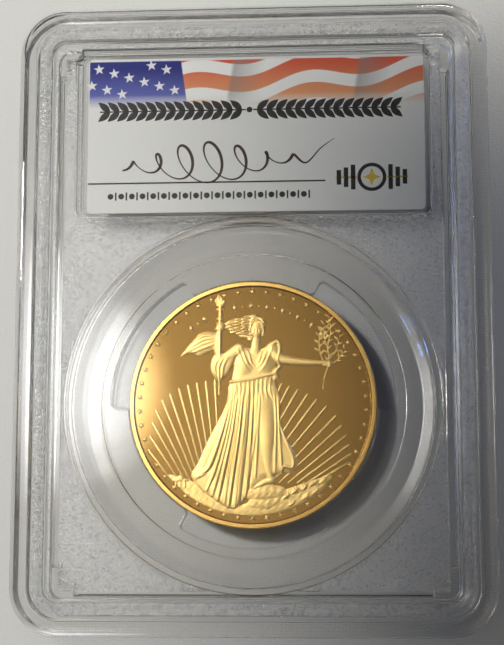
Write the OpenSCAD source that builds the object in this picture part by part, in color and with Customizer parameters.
// Graded coin slab: two welded clear shells holding a coin in its ring and a printed label.
// Millimetres. Z is the thickness, +Y points to the label end, the back rests on z = 0.

/* [Slab] */
// Width of the slab
slab_w = 63; // [62:0.5:66]
// Length of the slab
slab_l = 84; // [83:0.5:90]
// Thickness over the raised rims
slab_t = 7.9; // [7.7:0.1:8.8]
// Radius of the four corners
corner_r = 6.3; // [6:0.1:8]
// Rounding of the outer edges
edge_r = 0.9; // [0.4:0.1:1]
// Bevel of each shell where the two meet
seam_bevel = 0.15; // [0.05:0.05:0.3]

/* [Rim] */
// Width of the polished stacking ridge
ridge_w = 2.3; // [2:0.1:2.6]
// Step down from the ridge to the frosted band
band_drop = 0.35; // [0.2:0.05:0.5]
// Distance from the edge to the foot of the rim
rim_w = 4.75; // [4.3:0.05:5]
// Depth of the field below the ridge
field_drop = 1.25; // [0.9:0.05:1.4]
// Width of each sloping step
slope_w = 0.45; // [0.1:0.05:0.55]

/* [Cavity] */
// Thickness of the field plate
plate_t = 1.4; // [1.2:0.05:1.6]
// Width of the solid wall around the cavity
wall_w = 5; // [4.6:0.1:5.2]
// Short side of each corner stair
stair_a = 1.1; // [0.8:0.1:1.4]
// Middle step of each corner stair
stair_b = 1.5; // [1.2:0.1:1.8]
// Width of the corner stair at the end wall
stair_c = 3.1; // [2.6:0.1:3.6]
// Length of the corner stair along the side wall
stair_d = 3.8; // [3.2:0.1:4.4]

/* [Weld] */
// Width of the weld tongue
tongue_w = 1.1; // [0.8:0.1:1.4]
// Height of the weld tongue
tongue_h = 0.8; // [0.5:0.1:1]
// Clearance round the tongue
tongue_gap = 0.05; // [0.02:0.01:0.1]

/* [Coin] */
// Diameter of the coin
coin_d = 32.7; // [32:0.1:33]
// Thickness of the coin over its rims
coin_t = 2.87; // [2.5:0.01:2.9]
// Width of the coin's raised rim
coin_rim_w = 0.75; // [0.5:0.05:1.2]
// Depth of the coin's dished faces
coin_dish = 0.4; // [0.2:0.05:0.6]
// How far the coin lies below the middle of the slab
coin_low = 11.9; // [11:0.1:12]

/* [Well and ring] */
// Outer radius of the round rib
well_r = 24.8; // [24.4:0.1:25]
// Thickness of the round rib
well_wall = 0.8; // [0.6:0.1:1]
// Depth of the window recess in each plate
window_depth = 0.35; // [0.25:0.05:0.45]
// Clearance of the ring inside the rib
ring_gap = 0.1; // [0.05:0.05:0.2]
// Inner radius of the ring between its pads
ring_in_r = 18.8; // [18:0.1:19.5]
// Width of the ring's front outer bevel
bevel_w = 1.35; // [0.8:0.05:1.6]
// Height of the ring's front outer bevel
bevel_h = 0.95; // [0.6:0.05:1.2]
// Bevel of the ring's back outer edge
foot_bevel = 0.3; // [0.2:0.05:0.5]
// Width of the ring's inner bevel
lip_w = 0.9; // [0.4:0.1:1.2]
// Height of the ring's inner bevel
lip_h = 0.5; // [0.3:0.1:0.8]
// Space between the ring and the front window
ring_top_gap = 0.15; // [0.1:0.05:0.3]

/* [Pads] */
// Radial clearance between pads and coin
grip_gap = 0.05; // [0.02:0.01:0.1]
// Angle that each pad spans
pad_angle = 58; // [40:1:70]
// Radius of the pads' corners
pad_corner_r = 0.8; // [0.4:0.1:1]
// How far the pads lie below the ring's faces
pad_drop = 0.2; // [0.1:0.05:0.4]

/* [Label] */
// Width of the label card
label_w = 45.5; // [44:0.5:46]
// Height of the label card
label_l = 21.5; // [20:0.5:21.5]
// Thickness of the label card
label_t = 0.3; // [0.2:0.05:0.35]
// How far the label lies right of the slab's middle line
label_x = 0.35; // [0:0.05:0.4]
// Space under the label pocket's lower wall to the coin well
pocket_gap = 0.3; // [0.2:0.05:0.4]
// Width of the label pocket
pocket_w = 46.6; // [46.6:0.1:47.5]
// Height of the label pocket
pocket_l = 22.2; // [22:0.1:22.3]
// Thickness of the pocket's rib
pocket_wall = 0.6; // [0.5:0.1:0.7]
// Radius of the pocket's corners
pocket_r = 0.9; // [0.5:0.1:1.2]
// Radius of the label's corners
label_r = 0.6; // [0.3:0.1:0.8]
// Space over the label
label_top_gap = 0.1; // [0.05:0.05:0.2]

/* [Foil] */
// Width and height of the foil patch
foil_side = 9; // [6:0.5:12]
// Thickness of the foil patch
foil_t = 0.08; // [0.05:0.01:0.1]
// How far the foil lies left of the label's middle
foil_left = 14; // [0:0.5:16]

/* [Hidden] */
$fn = 96;
cut = 0.5;                                    // how far a cutting shape runs past the face it opens
mid_z = slab_t / 2;                           // the plane where the shells meet
half_w = slab_w / 2;
half_l = slab_l / 2;
field_z = slab_t - field_drop;                // outer face of the front field
inner_z = field_z - plate_t;                  // inner face of the front field
window_z = inner_z + window_depth;            // inner face of the front coin window
coin_r = coin_d / 2;
grip_r = coin_r + grip_gap;                   // inner radius of the three pads
rib_in_r = well_r - well_wall;                // inner radius of the round rib
ring_out_r = rib_in_r - ring_gap;
ring_z = slab_t - window_z;                   // the ring stands on the back window
ring_t = window_z - ring_top_gap - ring_z;
tongue_mid = wall_w / 2;                      // middle line of the tongue, from the edge
pocket_y = well_r - coin_low + pocket_gap + pocket_wall + pocket_l / 2;
label_y = pocket_y - pocket_l / 2 + label_l / 2 + label_top_gap;
label_z = inner_z - label_top_gap - label_t;  // lower face of the label
bed_z = label_z - foil_t;                     // top of the bed that carries the label
bed_gap = 0.2;                                // clearance of the bed inside the front shell's rib
stair_x = half_w - wall_w;                    // half width of the cavity
stair_y = half_l - wall_w;                    // half length of the cavity
plastic = [0.86, 0.9, 0.92, 0.35];

// A flat rectangle with true round corners.
module round_rect(w, l, r) {
    square([w - 2 * r, l], center = true);
    square([w, l - 2 * r], center = true);
    for (x = [-1, 1], y = [-1, 1])
        translate([x * (w / 2 - r), y * (l / 2 - r)]) circle(r);
}

// A prism on a round-cornered rectangle, from height z0 to z1.
module round_block(w, l, r, z0, z1) {
    translate([0, 0, z0]) linear_extrude(z1 - z0) round_rect(w, l, r);
}

// A round-cornered ring of the given width, whose middle line is at distance d from the slab's edge.
module edge_ring(d, w, z0, z1) {
    inset = d - w / 2;
    difference() {
        round_block(slab_w - 2 * inset, slab_l - 2 * inset, corner_r - inset, z0, z1);
        round_block(slab_w - 2 * inset - 2 * w, slab_l - 2 * inset - 2 * w, corner_r - inset - w,
                    z0 - cut, z1 + cut);
    }
}

// Half section of the front rim: x is the distance in from the edge, y is the height.
module rim_section() {
    band_z = slab_t - band_drop;
    translate([edge_r, slab_t - edge_r]) circle(edge_r);
    polygon([
        [seam_bevel, mid_z], [0, mid_z + seam_bevel], [0, slab_t - edge_r], [edge_r, slab_t - edge_r],
        [edge_r, slab_t], [ridge_w, slab_t], [ridge_w + slope_w, band_z], [rim_w - slope_w, band_z],
        [rim_w, field_z], [corner_r, field_z], [corner_r, mid_z]
    ]);
}

// Carries the rim section along one straight side of the given length.
module rim_side(length) {
    rotate([90, 0, 0]) translate([0, 0, -length / 2]) linear_extrude(length) rim_section();
}

// Turns the rim section through one corner.
module rim_corner() {
    rotate_extrude(angle = 90) translate([corner_r, 0]) mirror([1, 0]) rim_section();
}

// The front half before it is hollowed.
module front_blank() {
    span_w = slab_w - 2 * corner_r;
    span_l = slab_l - 2 * corner_r;
    translate([0, 0, mid_z]) linear_extrude(field_z - mid_z) square([span_w, span_l], center = true);
    for (turn = [0, 180]) rotate([0, 0, turn]) {
        translate([-half_w, 0, 0]) rim_side(span_l);
        rotate([0, 0, 90]) translate([-half_l, 0, 0]) rim_side(span_w);
        translate([span_w / 2, span_l / 2, 0]) rim_corner();
        translate([-span_w / 2, span_l / 2, 0]) rotate([0, 0, 90]) rim_corner();
    }
}

// One quarter of the cavity's outline, whose corner is cut by a stair.
stair = [
    [stair_x, stair_y - stair_d], [stair_x - stair_a, stair_y - stair_d],
    [stair_x - stair_a, stair_y - stair_b], [stair_x - stair_c, stair_y - stair_b],
    [stair_x - stair_c, stair_y]
];

// The whole outline of the cavity, quarter by quarter.
module cavity_outline() {
    last = len(stair) - 1;
    polygon(concat(
        [for (p = stair) p],
        [for (i = [last : -1 : 0]) [-stair[i][0], stair[i][1]]],
        [for (p = stair) -p],
        [for (i = [last : -1 : 0]) [stair[i][0], -stair[i][1]]]
    ));
}

// Round rib that holds the coin ring, and the rib round the label pocket.
module ribs() {
    rise = inner_z - mid_z + cut;
    translate([0, -coin_low, mid_z]) difference() {
        cylinder(h = rise, r = well_r);
        translate([0, 0, -cut]) cylinder(h = rise + 2 * cut, r = rib_in_r);
    }
    translate([0, pocket_y, 0]) difference() {
        round_block(pocket_w + 2 * pocket_wall, pocket_l + 2 * pocket_wall, pocket_r + pocket_wall,
                    mid_z, mid_z + rise);
        round_block(pocket_w, pocket_l, pocket_r, mid_z - cut, mid_z + rise + cut);
    }
}

// The front half, hollowed and ribbed, without its weld joint.
module hollow_half() {
    difference() {
        union() {
            difference() {
                front_blank();
                translate([0, 0, mid_z - cut]) linear_extrude(inner_z - mid_z + cut) cavity_outline();
            }
            ribs();
        }
        translate([0, -coin_low, mid_z - cut]) cylinder(h = window_z - mid_z + cut, r = rib_in_r);
    }
}

// Clear front: groove of the weld on its underside.
module front_shell() {
    color(plastic) difference() {
        hollow_half();
        edge_ring(tongue_mid, tongue_w + 2 * tongue_gap, mid_z - cut, mid_z + tongue_h + tongue_gap);
    }
}

// Clear back: the mirrored half, with the weld tongue and the bed under the label.
module back_shell() {
    color(plastic) {
        translate([0, 0, slab_t]) mirror([0, 0, 1]) hollow_half();
        edge_ring(tongue_mid, tongue_w, mid_z - cut, mid_z + tongue_h);
        translate([0, pocket_y, 0])
            round_block(pocket_w - 2 * bed_gap, pocket_l - 2 * bed_gap, pocket_r - bed_gap,
                        slab_t - inner_z - cut, bed_z);
    }
}

// Half section of the ring: a belt with bevelled outer and inner edges.
module ring_section() {
    polygon([
        [ring_in_r, 0], [ring_out_r - foot_bevel, 0], [ring_out_r, foot_bevel],
        [ring_out_r, ring_t - bevel_h], [ring_out_r - bevel_w, ring_t],
        [ring_in_r + lip_w, ring_t], [ring_in_r, ring_t - lip_h]
    ]);
}

// Part of a flat ring between two radii, spread by the given angle about +X.
module arc_block(r0, r1, angle, z0, z1) {
    rotate([0, 0, -angle / 2]) rotate_extrude(angle = angle)
        translate([r0, z0]) square([r1 - r0, z1 - z0]);
}

// One pad that grips the coin, with two rounded corners.
module pad() {
    corner_at = grip_r + pad_corner_r;
    corner_turn = asin(pad_corner_r / corner_at);
    root_r = ring_in_r + lip_w;
    top = ring_t - pad_drop;
    arc_block(corner_at, root_r, pad_angle, pad_drop, top);
    arc_block(grip_r, root_r, pad_angle - 2 * corner_turn, pad_drop, top);
    for (side = [-1, 1])
        rotate([0, 0, side * (pad_angle / 2 - corner_turn)]) translate([corner_at, 0, pad_drop])
            cylinder(h = top - pad_drop, r = pad_corner_r);
}

// Clear ring with three pads, standing in the round rib.
module coin_ring() {
    color(plastic) translate([0, -coin_low, ring_z]) {
        rotate_extrude() ring_section();
        for (turn = [90, 210, 330]) rotate([0, 0, turn]) pad();
    }
}

// The coin: a disc with a raised rim on each face.
module coin() {
    color("gold") translate([0, -coin_low, mid_z - coin_t / 2]) difference() {
        cylinder(h = coin_t, r = coin_r);
        for (z = [-cut, coin_t - coin_dish])
            translate([0, 0, z]) cylinder(h = coin_dish + cut, r = coin_r - coin_rim_w);
    }
}

// Printed card on the bed.
module label_card() {
    color("ivory") translate([label_x, label_y, 0])
        round_block(label_w, label_l, label_r, label_z, label_z + label_t);
}

// Foil patch on the back of the card.
module security_foil() {
    color("silver") translate([label_x - foil_left, label_y, bed_z])
        linear_extrude(foil_t) square(foil_side, center = true);
}

back_shell();
front_shell();
coin_ring();
coin();
label_card();
security_foil();
